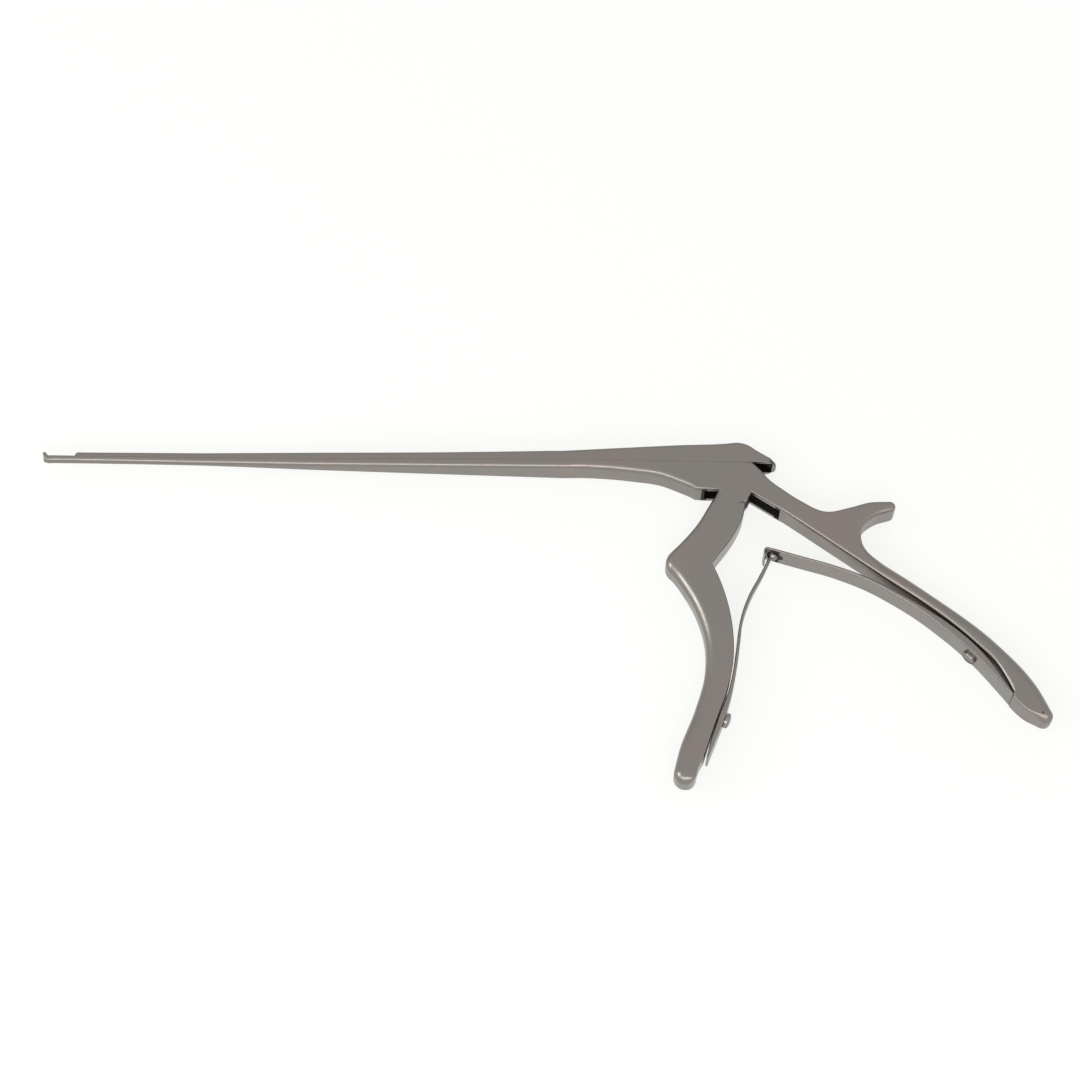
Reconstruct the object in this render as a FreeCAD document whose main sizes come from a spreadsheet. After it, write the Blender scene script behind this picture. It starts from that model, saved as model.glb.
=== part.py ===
import FreeCAD, Part
import Sketcher
import math
import os

# Kerrison rongeur lying on its right side, in millimetres.
# The origin is the pivot axis at the resting side. +X runs back along the shaft, away from the
# jaw, +Y points from the handles to the shaft, and +Z is up, along the pivot pin.

V = FreeCAD.Vector
doc = FreeCAD.newDocument("rongeur")

SIZES = {
    # Flat forging that holds the shaft, the two cheeks and the rear handle
    "body_width": 9.0,
    "edge_bevel": 0.7,
    "cheek_radius": 4.6,
    "seat_clearance": 0.15,
    "parting_height": 8.1,
    "belly_height": 0.35,
    "shaft_reach": 193.2,
    "shaft_depth_jaw": 1.85,
    "shaft_depth_body": 2.4,
    "taper_start": 48.0,
    "taper_end": 150.0,
    "jaw_width": 2.8,
    "shaft_bevel": 0.45,
    # Footplate at the jaw, leaning forward
    "foot_thickness": 0.95,
    "foot_rise": 0.95,
    "foot_angle": 129.0,
    # Slot in the body for the trigger's tongue
    "slot_width": 3.2,
    "slot_front": 8.4,
    "slot_sweep": 14.0,
    "tongue_side_gap": 0.1,
    # Slide
    "slide_gap": 0.02,
    "jaw_opening": 7.5,
    "slide_rise_jaw": 1.15,
    "slide_rise_body": 2.7,
    "slide_rise_crest": 6.0,
    "slide_rear_reach": 11.8,
    "slide_rear_round": 3.2,
    "pocket_width": 3.4,
    "pocket_front": 4.4,
    "pocket_rear": 8.0,
    "pocket_depth": 4.6,
    "cup_width": 1.7,
    "cup_rise": 0.75,
    "cup_depth": 2.6,
    # Guide keys under the slide and their slots in the shaft
    "key_clearance": 0.08,
    "front_key_neck": 0.8,
    "front_key_flange": 1.5,
    "front_key_depth": 0.95,
    "front_key_lip": 0.45,
    "front_key_length": 9.0,
    "rear_key_neck": 2.0,
    "rear_key_flange": 3.6,
    "rear_key_depth": 1.6,
    "rear_key_lip": 0.8,
    "rear_key_length": 10.0,
    "rear_key_back": 22.0,
    "slide_travel": 7.4,
    # Pins
    "pivot_pin_radius": 1.8,
    "pivot_clearance": 0.05,
    "pin_fit": 0.01,
    "slide_pin_radius": 1.0,
    "slide_pin_height": 10.0,
    "slide_pin_back": 2.7,
    # Tongue and fork on top of the trigger
    "fork_clearance": 0.3,
    "fork_half_width": 2.9,
    "fork_reach": 11.8,
    "hub_radius": 4.9,
    "trigger_bevel": 1.4,
    "end_round": 3.4,
    # Leaf springs
    "leaf_width": 8.4,
    "leaf_seat_gap": 0.05,
    "leaf_tip": 0.7,
    "ball_radius": 1.6,
    "ball_clearance": 0.1,
    "ball_seat_depth": 3.7,
    "ball_neck_width": 2.2,
    "hook_drop": 3.6,
    # Spring screws
    "screw_head_radius": 2.4,
    "screw_head_height": 1.4,
    "screw_shank_radius": 1.2,
    "screw_shank_length": 4.2,
    "screw_slot_width": 0.8,
    "screw_slot_depth": 0.6,
    "screw_fit": 0.05,
    "screw_seat": 0.1,
}

sheet = doc.addObject("Spreadsheet::Sheet", "sizes")
for row, (alias, value) in enumerate(SIZES.items(), start=1):
    sheet.set("A%d" % row, alias)
    sheet.set("B%d" % row, str(value))
    sheet.setAlias("B%d" % row, alias)
doc.recompute()


def size(alias):
    return float(sheet.get(alias))


WIDTH = size("body_width")
MIDDLE = WIDTH / 2
PARTING = size("parting_height")
REACH = size("shaft_reach")


# Helpers for outlines and features


def polar(radius, degrees):
    angle = math.radians(degrees)
    return (radius * math.cos(angle), radius * math.sin(angle))


def spline_curve(points, start_way=None, end_way=None):
    """Smooth curve through the points, with the given directions at its ends, if any."""
    places = [V(x, y, 0) for x, y in points]
    lengths = [0.0]
    for one, other in zip(points, points[1:]):
        lengths.append(lengths[-1] + math.dist(one, other))
    curve = Part.BSplineCurve()
    curve.interpolate(Points=places, Parameters=lengths)
    if start_way or end_way:
        first = start_way or curve.tangent(lengths[0])[0]
        last = end_way or curve.tangent(lengths[-1])[0]
        curve.interpolate(
            Points=places,
            Parameters=lengths,
            InitialTangent=first,
            FinalTangent=last,
            Scale=False,
        )
    return curve


def arc_leaving(begin, way, end):
    """Arc from begin to end that leaves begin along way, or a line where it has no bend."""
    chord = end - begin
    bend = math.atan2(way.x * chord.y - way.y * chord.x, way.dot(chord))
    if abs(bend) < 1e-5:
        return Part.LineSegment(begin, end)
    side = V(-chord.y, chord.x, 0)
    middle = (begin + end) / 2 - side * (math.tan(bend / 2) / 2)
    return Part.Arc(begin, middle, end)


def arc_chain(points, start_way=None, end_way=None):
    """Chain of tangent arcs through the points: two for each step, in place of one spline."""
    curve = spline_curve(points, start_way, end_way)
    places = [V(x, y, 0) for x, y in points]
    ways = [curve.tangent(curve.parameter(place))[0] for place in places]
    chain = []
    for begin, end, way, last in zip(places, places[1:], ways, ways[1:]):
        span = end - begin
        both = span.dot(way + last)
        turn = 2 * (1 - way.dot(last))
        if turn < 1e-9:
            reach = span.dot(span) / (4 * span.dot(last))
        else:
            reach = (math.sqrt(both ** 2 + turn * span.dot(span)) - both) / turn
        joint = (begin + end + (way - last) * reach) / 2
        chain.append(arc_leaving(begin, way, joint))
        back = arc_leaving(end, last * -1, joint)
        chain.append(back)
    return chain


def offset_points(stations, sign):
    """Points beside a smooth curve through (x, y, distance) stations, at each distance."""
    curve = spline_curve([(x, y) for x, y, _ in stations])
    out = []
    for x, y, distance in stations:
        along = curve.tangent(curve.parameter(V(x, y, 0)))[0]
        out.append((x - sign * along.y * distance, y + sign * along.x * distance))
    return out


def draw(sketch, start, steps):
    """Closed outline: a line or bar to a point, an arc through two points, a spline, or a flow.

    A flow is a spline that leaves or meets a neighbouring arc or bar without a corner."""
    here = start
    ends = []
    for kind, *points in steps:
        ends.append((here, points[-1]))
        here = points[-1]
    arcs = {}
    for number, (kind, *points) in enumerate(steps):
        if kind == "arc":
            begin, end = ends[number]
            arcs[number] = Part.Arc(V(*begin, 0), V(*points[0], 0), V(*end, 0))
    ways = {}
    for number, arc in arcs.items():
        edge = arc.toShape()
        first, last = edge.ParameterRange
        turned = -1 if edge.valueAt(first).distanceToPoint(V(*ends[number][0], 0)) > 1e-6 else 1
        ways[number] = (edge.tangentAt(first) * turned, edge.tangentAt(last) * turned)
        if turned < 0:
            ways[number] = ways[number][::-1]
    for number, (kind, *points) in enumerate(steps):
        if kind == "bar":
            way = V(*ends[number][1], 0) - V(*ends[number][0], 0)
            ways[number] = (way.normalize(), way)
    for number, (kind, *points) in enumerate(steps):
        begin, end = ends[number]
        if kind in ("line", "bar"):
            sketch.addGeometry(Part.LineSegment(V(*begin, 0), V(*end, 0)))
        elif kind == "arc":
            sketch.addGeometry(arcs[number])
        elif kind == "spline":
            sketch.addGeometry(arc_chain([begin] + points))
        else:
            before = ways[number - 1][1] if number - 1 in ways else None
            after = ways[number + 1][0] if number + 1 in ways else None
            sketch.addGeometry(arc_chain([begin] + points, before, after))
    if math.dist(here, start) > 1e-6:
        sketch.addGeometry(Part.LineSegment(V(*here, 0), V(*start, 0)))


def new_body(name):
    return doc.addObject("PartDesign::Body", name)


def new_sketch(body, name, plane, place=None):
    origin_plane = [o for o in body.Origin.OriginFeatures if o.Role == plane][0]
    sketch = body.newObject("Sketcher::SketchObject", name)
    sketch.AttachmentSupport = [(origin_plane, "")]
    sketch.MapMode = "FlatFace"
    if place:
        sketch.AttachmentOffset = place
    return sketch


def outline(body, name, plane, start, steps, place=None):
    sketch = new_sketch(body, name, plane, place)
    draw(sketch, start, steps)
    return sketch


def circle(body, name, plane, centre, radius, place=None):
    """Circle sketch whose radius is an expression of sheet values."""
    sketch = new_sketch(body, name, plane, place)
    sketch.addGeometry(Part.Circle(V(*centre, 0), V(0, 0, 1), 1.0))
    sketch.addConstraint(Sketcher.Constraint("Radius", 0, 1.0))
    sketch.setExpression("Constraints[0]", "sizes." + radius)
    return sketch


def pad(body, name, sketch, length, sides="One side", backwards=False):
    feature = body.newObject("PartDesign::Pad", name)
    feature.Profile = sketch
    feature.setExpression("Length", length)
    feature.SideType = sides
    feature.Reversed = backwards
    doc.recompute()
    return feature


def pocket(body, name, sketch, length, sides="One side", backwards=False):
    before = body.Shape.Volume
    feature = body.newObject("PartDesign::Pocket", name)
    feature.Profile = sketch
    feature.setExpression("Length", length)
    feature.SideType = sides
    feature.Reversed = backwards
    doc.recompute()
    if not body.Shape.Volume < before - 1e-4:
        raise RuntimeError(name + " cuts nothing")
    return feature


def bevel_edges(body, name, width, chosen):
    """Chamfer on the edges of the body's last feature that chosen(edge) picks."""
    base = body.Tip
    edges = []
    for number, edge in enumerate(base.Shape.Edges, start=1):
        if chosen(edge):
            edges.append("Edge%d" % number)
    feature = body.newObject("PartDesign::Chamfer", name)
    feature.Base = (base, edges)
    feature.setExpression("Size", width)
    doc.recompute()
    if not 0.8 * base.Shape.Volume < body.Shape.Volume < base.Shape.Volume:
        raise RuntimeError(name + " spoils the body")
    return feature


def at_height(z):
    return FreeCAD.Placement(V(0, 0, z), FreeCAD.Rotation())


def round_end(body, name, tip, degrees, depth):
    """Rounds a handle's end in its side view; the end points along degrees and ends at tip."""
    way = V(*polar(1, degrees), 0)
    up = V(0, 0, 1)
    place = FreeCAD.Placement(V(*tip, 0), FreeCAD.Rotation(way, up, way.cross(up), "XYZ"))
    arc = outline(
        body,
        name + "_outline",
        "XY_Plane",
        (-depth, 0),
        [
            ("arc", (0, MIDDLE), (-depth, WIDTH)),
            ("line", (-depth, WIDTH + 1)),
            ("line", (depth, WIDTH + 1)),
            ("line", (depth, -1)),
            ("line", (-depth, -1)),
        ],
        place,
    )
    return pocket(body, name, arc, "2 * sizes.body_width", "Symmetric")


def on_side_plane(edge):
    """True for an edge that lies in one of the two flat sides."""
    box = edge.BoundBox
    flat = box.ZLength < 1e-5
    return flat and (abs(box.ZMin) < 1e-5 or abs(box.ZMin - WIDTH) < 1e-5)


# Outline of the forging, seen from above

REST_ANGLE = math.degrees(math.atan2(size("slide_pin_back"), size("slide_pin_height")))
CHEEK = size("cheek_radius")
BELLY = -size("belly_height")
SHAFT_BOTTOM_JAW = PARTING - size("shaft_depth_jaw")
SHAFT_BOTTOM_BODY = PARTING - size("shaft_depth_body")
TAPER_START = -size("taper_start")
TAPER_END = -size("taper_end")

# Rear leaf spring: its upper face as (x, y, thickness), from the free end to the root
REAR_LEAF = [
    (9.2, -17.45, size("leaf_tip")),
    (18.1, -19.9, size("leaf_tip")),
    (27.3, -22.5, size("leaf_tip")),
    (37.6, -26.4, 0.95),
    (44.3, -29.9, 1.2),
    (50.5, -33.6, 1.45),
    (57.8, -38.5, 2.1),
    (62.8, -42.5, 2.35),
    (66.2, -45.8, 2.35),
    (70.0, -50.4, 1.9),
    (72.9, -54.8, 1.2),
    (75.4, -59.1, 0.35),
]
# Gap between the leaf's upper face and the handle, at the last six stations
SEAT_GAPS = (0.4, 0.25, 0.2, 0.8, 1.15, 0.25)

# Front leaf spring: its outer face as (x, y, thickness), from the root to the neck
FRONT_LEAF = [
    (-7.7, -79.0, 0.5),
    (-5.6, -73.7, 1.35),
    (-3.1, -67.0, 1.65),
    (-1.2, -60.5, 1.15),
    (0.2, -53.0, 0.9),
    (1.1, -46.0, 0.8),
    (2.0, -39.0, 0.8),
    (4.6, -31.2, 0.9),
    (7.6, -25.4, 1.0),
    (9.6, -21.4, 0.9),
]
BALL = (10.4, -19.0)

LEAF_GAP = size("leaf_seat_gap")
seat = [(x, y, gap) for (x, y, _), gap in zip(REAR_LEAF[-6:], SEAT_GAPS)]
seat = offset_points(seat, 1)
# The leaf's end stands against a small step, flush with the handle's inner face
SEAT_END = polar(3 * LEAF_GAP, -60)
SEAT_END = (seat[-1][0] + SEAT_END[0], seat[-1][1] + SEAT_END[1])
STEP = polar(0.8, -150)
STEP_CORNER = (SEAT_END[0] + STEP[0], SEAT_END[1] + STEP[1])

# Front ends of the slide's two guide keys at rest
KEYS = {
    "front": -REACH + 1.2 + size("slide_travel"),
    "rear": -size("rear_key_back") - size("rear_key_length"),
}

APEX = polar(CHEEK, -12)
BELLY_CORNER = (-math.sqrt(CHEEK ** 2 - BELLY ** 2), BELLY)


def frame_body():
    body = new_body("shaft_and_rear_handle")
    # Footplate: inner face, top, outer face and the bevel below it
    lean = math.radians(size("foot_angle"))
    rise = size("foot_rise")
    heel = (-REACH, PARTING)
    tip_inner = (-REACH + rise / math.tan(lean), PARTING + rise)
    tip_outer = (tip_inner[0] - size("foot_thickness"), tip_inner[1])
    toe = (-REACH - 1.25, PARTING - 1.25)
    rear_top = (4.7, PARTING)
    sketch = outline(
        body,
        "side_outline",
        "XY_Plane",
        rear_top,
        [
            ("flow", (7.4, 5.8), (9.3, 3.4), (13.4, 0.1), (18.4, -3.3), (25.2, -6.4), (32.3, -5.05),
             (37.5, -3.5), (43.3, -3.1)),
            ("arc", (44.9, -4.6), (44.0, -5.87)),
            ("flow", (39.0, -7.7), (35.6, -10.9), (35.3, -15.2), (39.7, -20.6), (54.7, -30.8),
             (71.1, -43.8), (82.3, -56.7), (86.3, -64.6)),
            ("arc", (85.3, -67.1), (82.9, -66.2)),
            ("flow", (79.0, -63.0), STEP_CORNER),
            ("line", SEAT_END),
            ("flow", *seat[-2::-1], (51.5, -33.1), (40.8, -25.8)),
            ("bar", APEX),
            ("arc", polar(CHEEK, -90), BELLY_CORNER),
            ("line", (-10.8, BELLY)),
            ("spline", (-15.4, 1.9), (-20.4, 3.8), (-28.5, 4.95), (TAPER_START + 3, SHAFT_BOTTOM_BODY)),
            ("line", (-REACH, SHAFT_BOTTOM_JAW)),
            ("line", toe),
            ("line", tip_outer),
            ("line", tip_inner),
            ("line", heel),
        ],
    )
    pad(body, "forging", sketch, "sizes.body_width")

    # Both sides of the shaft taper towards the jaw, seen in plan
    for side, name in ((-1, "right_taper"), (1, "left_taper")):
        cut_taper(body, name, side)

    # Slot between the cheeks for the tongue, open above, below and behind
    half = MIDDLE - size("slot_width") / 2
    sweep = size("slot_sweep")
    low = polar(sweep, -62)
    high = polar(sweep, 44)
    slot = outline(
        body,
        "tongue_slot_outline",
        "XY_Plane",
        (-size("slot_front"), low[1]),
        [
            ("line", low),
            ("arc", polar(sweep, -10), high),
            ("line", (-size("slot_front"), high[1])),
        ],
        at_height(half),
    )
    pocket(body, "tongue_slot", slot, "sizes.slot_width", backwards=True)

    # Rounded edges of the handle, apart from the seat of the leaf's end
    def handle_edge(edge):
        box = edge.BoundBox
        return on_side_plane(edge) and box.XMax > rear_top[0] + 1 and box.XLength + box.YLength > 1.5

    bevel_edges(body, "handle_bevel", "sizes.edge_bevel", handle_edge)
    round_end(body, "handle_end", (86.5, -67.0), -52, size("end_round"))

    def belly_edge(edge):
        box = edge.BoundBox
        lowest = abs(box.YMax - SHAFT_BOTTOM_BODY) < 3 and box.XLength > 5
        return lowest and box.XMax < BELLY_CORNER[0] and box.YMax < PARTING - 0.5

    bevel_edges(body, "shaft_bevel", "sizes.shaft_bevel", belly_edge)

    # Bore for the pivot pin
    bore = circle(body, "pivot_bore_outline", "XY_Plane", (0, 0), "pivot_pin_radius + sizes.pin_fit")
    pocket(body, "pivot_bore", bore, "sizes.body_width", backwards=True)

    # Guide slots for the slide's two keys, each longer than its key by the slide's travel
    for end, start in KEYS.items():
        clearance = size("key_clearance")
        front = start - size("slide_travel") - clearance
        slot = t_outline(body, end, clearance, front, PARTING + 1)
        length = "sizes.%s_key_length + sizes.slide_travel + 2 * sizes.key_clearance" % end
        pocket(body, end + "_guide_slot", slot, length, backwards=True)

    # Blind hole for the leaf's screw
    hole = circle(body, "spring_screw_outline", "XY_Plane", (0, 0), "screw_shank_radius + sizes.screw_fit",
                  REAR_SCREW)
    pocket(body, "spring_screw_hole", hole, "2 * (sizes.screw_shank_length + sizes.screw_fit)", "Symmetric")
    return body


def t_outline(body, end, clearance, front, top):
    """T-shaped outline, at x = front, of a guide key below the parting face or of its slot."""
    neck = size(end + "_key_neck") / 2 + clearance
    flange = size(end + "_key_flange") / 2 + clearance
    depth = PARTING - size(end + "_key_depth") - clearance
    lip = PARTING - size(end + "_key_lip") + clearance
    return outline(
        body,
        end + "_guide_outline",
        "YZ_Plane",
        (top, MIDDLE - neck),
        [
            ("line", (lip, MIDDLE - neck)),
            ("line", (lip, MIDDLE - flange)),
            ("line", (depth, MIDDLE - flange)),
            ("line", (depth, MIDDLE + flange)),
            ("line", (lip, MIDDLE + flange)),
            ("line", (lip, MIDDLE + neck)),
            ("line", (top, MIDDLE + neck)),
        ],
        at_height(front),
    )


def slide_body():
    body = new_body("upper_slide")
    base = PARTING + size("slide_gap")
    nose = -REACH + size("jaw_opening")
    brow = PARTING + size("slide_rise_jaw")
    shoulder = PARTING + size("slide_rise_body")
    crest = PARTING + size("slide_rise_crest")
    rear = size("slide_rear_reach")
    sketch = outline(
        body,
        "side_outline_of_slide",
        "XY_Plane",
        (nose, base),
        [
            ("line", (rear, base)),
            ("line", (rear - 0.3, base + 0.45)),
            ("line", (5.6, crest - 1.85)),
            ("arc", (3.4, crest - 0.45), (-0.4, crest)),
            ("line", (TAPER_START - 1, shoulder)),
            ("line", (nose + 0.7, brow)),
            ("line", (nose + 0.25, brow - 0.4)),
        ],
    )
    pad(body, "slide_block", sketch, "sizes.body_width")
    for side, name in ((-1, "slide_right_taper"), (1, "slide_left_taper")):
        cut_taper(body, name, side)

    # Rounded rear end, seen from above the shaft
    turn = size("slide_rear_round")
    dip = turn * (1 - math.sqrt(0.5))
    for side, name in ((-1, "right_rear_corner"), (1, "left_rear_corner")):
        edge = MIDDLE + side * MIDDLE
        corner = outline(
            body,
            name + "_outline",
            "XZ_Plane",
            (rear - turn, edge),
            [
                ("arc", (rear - dip, edge - side * dip), (rear, edge - side * turn)),
                ("line", (rear + 1, edge - side * turn)),
                ("line", (rear + 1, edge + side)),
                ("line", (rear - turn, edge + side)),
            ],
        )
        pocket(body, name, corner, "2 * sizes.shaft_reach", "Symmetric")

    # Guide keys below the parting face
    for end, start in KEYS.items():
        key = t_outline(body, end, 0, start, base + 0.2)
        pad(body, end + "_guide_key", key, "sizes.%s_key_length" % end)

    # Pocket for the fork, open below
    front = size("slide_pin_back") - size("pocket_front")
    back = size("slide_pin_back") + size("pocket_rear")
    half = size("pocket_width") / 2
    well = outline(
        body,
        "fork_pocket_outline",
        "XZ_Plane",
        (front + half, MIDDLE - half),
        [
            ("line", (back - half, MIDDLE - half)),
            ("arc", (back, MIDDLE), (back - half, MIDDLE + half)),
            ("line", (front + half, MIDDLE + half)),
            ("arc", (front, MIDDLE), (front + half, MIDDLE - half)),
        ],
        at_height(-base),
    )
    pocket(body, "fork_pocket", well, "sizes.pocket_depth")

    # Bore for the cross pin that the fork drives
    pin_spot = (size("slide_pin_back"), size("slide_pin_height"))
    bore = circle(body, "slide_pin_outline", "XY_Plane", pin_spot, "slide_pin_radius + sizes.pin_fit")
    pocket(body, "slide_pin_bore", bore, "sizes.body_width", backwards=True)

    # Cutting cup in the nose, facing the footplate
    wide = size("cup_width") / 2
    low = base + 0.2
    high = low + size("cup_rise")
    mouth = outline(
        body,
        "cup_outline",
        "YZ_Plane",
        (low, MIDDLE - wide / 2),
        [
            ("arc", ((low + high) / 2, MIDDLE - wide), (high, MIDDLE - wide / 2)),
            ("line", (high, MIDDLE + wide / 2)),
            ("arc", ((low + high) / 2, MIDDLE + wide), (low, MIDDLE + wide / 2)),
        ],
        at_height(nose - 1),
    )
    pocket(body, "cup", mouth, "sizes.cup_depth + 1", backwards=True)
    return body


def cut_taper(body, name, side):
    """Cuts one side of the shaft to its straight taper, seen in plan."""
    jaw = MIDDLE + side * size("jaw_width") / 2
    far = MIDDLE + side * (MIDDLE + 1)
    sketch = outline(
        body,
        name + "_outline",
        "XZ_Plane",
        (TAPER_START, MIDDLE + side * MIDDLE),
        [
            ("line", (TAPER_END, jaw)),
            ("line", (-REACH - 5, jaw)),
            ("line", (-REACH - 5, far)),
            ("line", (TAPER_START, far)),
        ],
    )
    pocket(body, name, sketch, "2 * sizes.shaft_reach", "Symmetric")


def screw_place(leaf, station, sign):
    """Foot of a spring screw: on the handle's side of the leaf, with +Z out through its head."""
    x, y, thickness = leaf[station]
    curve = spline_curve([(a, b) for a, b, _ in leaf])
    along = curve.tangent(curve.parameter(V(x, y, 0)))[0]
    out = V(sign * along.y, -sign * along.x, 0)
    return V(x, y, MIDDLE), out, thickness


# Rear screw: from the leaf's lower face up through the leaf into the handle
rear_spot, rear_out, rear_thick = screw_place(REAR_LEAF, 8, 1)
REAR_SCREW = FreeCAD.Placement(rear_spot, FreeCAD.Rotation(V(0, 0, 1), rear_out))

# Front screw: from the leaf's outer face through the leaf into the trigger
front_spot, front_out, front_thick = screw_place(FRONT_LEAF, 2, 1)
front_foot = front_spot - front_out * front_thick
FRONT_SCREW = FreeCAD.Placement(front_foot, FreeCAD.Rotation(V(0, 0, 1), front_out))


def trigger_body():
    body = new_body("trigger_handle")
    radius = CHEEK + size("seat_clearance")
    front_corner = polar(radius, -172.6)
    rear_corner = polar(radius, -57)
    sketch = outline(
        body,
        "trigger_outline",
        "XY_Plane",
        front_corner,
        [
            ("flow", (-6.9, -4.5), (-10.7, -11.0), (-15.0, -16.3), (-18.2, -19.6)),
            ("arc", (-19.3, -22.3), (-18.2, -24.8)),
            ("flow", (-14.2, -30.2), (-10.6, -37.2), (-8.4, -45.5), (-8.6, -55.0), (-11.4, -65.4),
             (-15.4, -76.0), (-17.0, -82.6)),
            ("arc", (-15.43, -86.03), (-13.02, -86.05)),
            ("spline", (-11.6, -83.3), (-10.0, -80.6), (-8.6, -78.2), (-7.1, -73.4), (-5.0, -66.9),
             (-2.4, -59.3), (-0.8, -51.0), (-0.9, -41.5), (-2.8, -31.8), (-6.4, -22.6)),
            ("spline", (-4.6, -20.0), (-1.9, -16.3), (0.9, -11.5), (2.4, -7.4), rear_corner),
            ("arc", polar(radius, -115), front_corner),
        ],
    )
    pad(body, "trigger_blank", sketch, "sizes.body_width")

    # Broad bevel along the front of the grip; the flank behind it, where the spring lies, stays square
    def front_edge(edge):
        box = edge.BoundBox
        middle = -13.5 if box.YMin < -75 else -8.0
        return on_side_plane(edge) and box.YMin < -8 and box.XMin < middle

    bevel_edges(body, "trigger_front_bevel", "sizes.trigger_bevel", front_edge)
    round_end(body, "trigger_end", (-14.0, -86.2), -99, size("end_round"))

    # Hub, tongue and fork between the cheeks
    side = size("slot_width") / 2 - size("tongue_side_gap")
    web = new_sketch(body, "tongue_outline", "XY_Plane", at_height(MIDDLE))
    hub = size("hub_radius")
    half = size("fork_half_width")
    gap = size("slide_pin_radius") + size("fork_clearance")
    reach = size("fork_reach")
    floor = size("slide_pin_height") - gap
    corner = 0.7

    def on_tongue(across, out):
        angle = math.radians(90 - REST_ANGLE)
        along = (math.cos(angle), math.sin(angle))
        return (out * along[0] + across * along[1], out * along[1] - across * along[0])

    shoulder = math.sqrt(hub ** 2 - half ** 2)
    draw(
        web,
        on_tongue(-half, shoulder),
        [
            ("arc", polar(hub, 180), polar(hub, -168)),
            ("line", (-6.0, -6.0)),
            ("line", (0.5, -9.0)),
            ("line", polar(hub, -60)),
            ("arc", polar(hub, -10), on_tongue(half, shoulder)),
            ("line", on_tongue(half, reach - corner)),
            ("arc", on_tongue(half - 0.3 * corner, reach - 0.3 * corner), on_tongue(half - corner, reach)),
            ("line", on_tongue(gap, reach)),
            ("line", on_tongue(gap, floor + 0.6)),
            ("arc", on_tongue(gap - 0.18, floor + 0.18), on_tongue(gap - 0.6, floor)),
            ("line", on_tongue(0.6 - gap, floor)),
            ("arc", on_tongue(0.18 - gap, floor + 0.18), on_tongue(-gap, floor + 0.6)),
            ("line", on_tongue(-gap, reach)),
            ("line", on_tongue(corner - half, reach)),
            ("arc", on_tongue(0.3 * corner - half, reach - 0.3 * corner), on_tongue(-half, reach - corner)),
        ],
    )
    pad(body, "tongue", web, "sizes.slot_width - 2 * sizes.tongue_side_gap", "Symmetric")
    bore = circle(body, "hub_bore_outline", "XY_Plane", (0, 0), "pivot_pin_radius + sizes.pivot_clearance")
    pocket(body, "hub_bore", bore, "sizes.body_width", backwards=True)
    hole = circle(body, "trigger_screw_outline", "XY_Plane", (0, 0), "screw_shank_radius + sizes.screw_fit",
                  FRONT_SCREW)
    pocket(body, "trigger_screw_hole", hole, "2 * (sizes.screw_shank_length + sizes.screw_fit)", "Symmetric")
    return body


def rear_leaf_body():
    body = new_body("rear_leaf_spring")
    upper = [(x, y) for x, y, _ in REAR_LEAF]
    lower = offset_points(REAR_LEAF, -1)
    tip = size("leaf_tip")
    drop = size("hook_drop")
    knee = (upper[0][0] - 1.3, upper[0][1] - 1.1)
    low = (side_half_gap(), WIDTH - side_half_gap())
    sketch = outline(
        body,
        "rear_leaf_outline",
        "XY_Plane",
        upper[0],
        [
            ("spline", *upper[1:]),
            ("line", lower[-1]),
            ("spline", *lower[-2::-1]),
            ("arc", (knee[0] + 1.05, knee[1] - 0.05), (knee[0] + 0.5, knee[1] - 0.7)),
            ("line", (knee[0] + 0.4, upper[0][1] - drop)),
            ("line", (knee[0] - 0.1, upper[0][1] - drop)),
            ("line", (knee[0], knee[1] - 0.4)),
            ("arc", (knee[0] + 0.32, upper[0][1] - 0.4), upper[0]),
        ],
        at_height(low[0]),
    )
    pad(body, "rear_leaf", sketch, "sizes.leaf_width")
    seat_hole = circle(body, "ball_seat_outline", "XZ_Plane", (BALL[0], MIDDLE),
                       "ball_radius + sizes.ball_clearance", at_height(-BALL[1] - 3))
    pocket(body, "ball_seat", seat_hole, "sizes.ball_seat_depth", backwards=True)
    hole = circle(body, "leaf_hole_outline", "XY_Plane", (0, 0), "screw_shank_radius + sizes.screw_fit",
                  REAR_SCREW)
    pocket(body, "leaf_screw_hole", hole, "2 * sizes.screw_shank_length", "Symmetric")
    return body


def side_half_gap():
    return (WIDTH - size("leaf_width")) / 2


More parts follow.
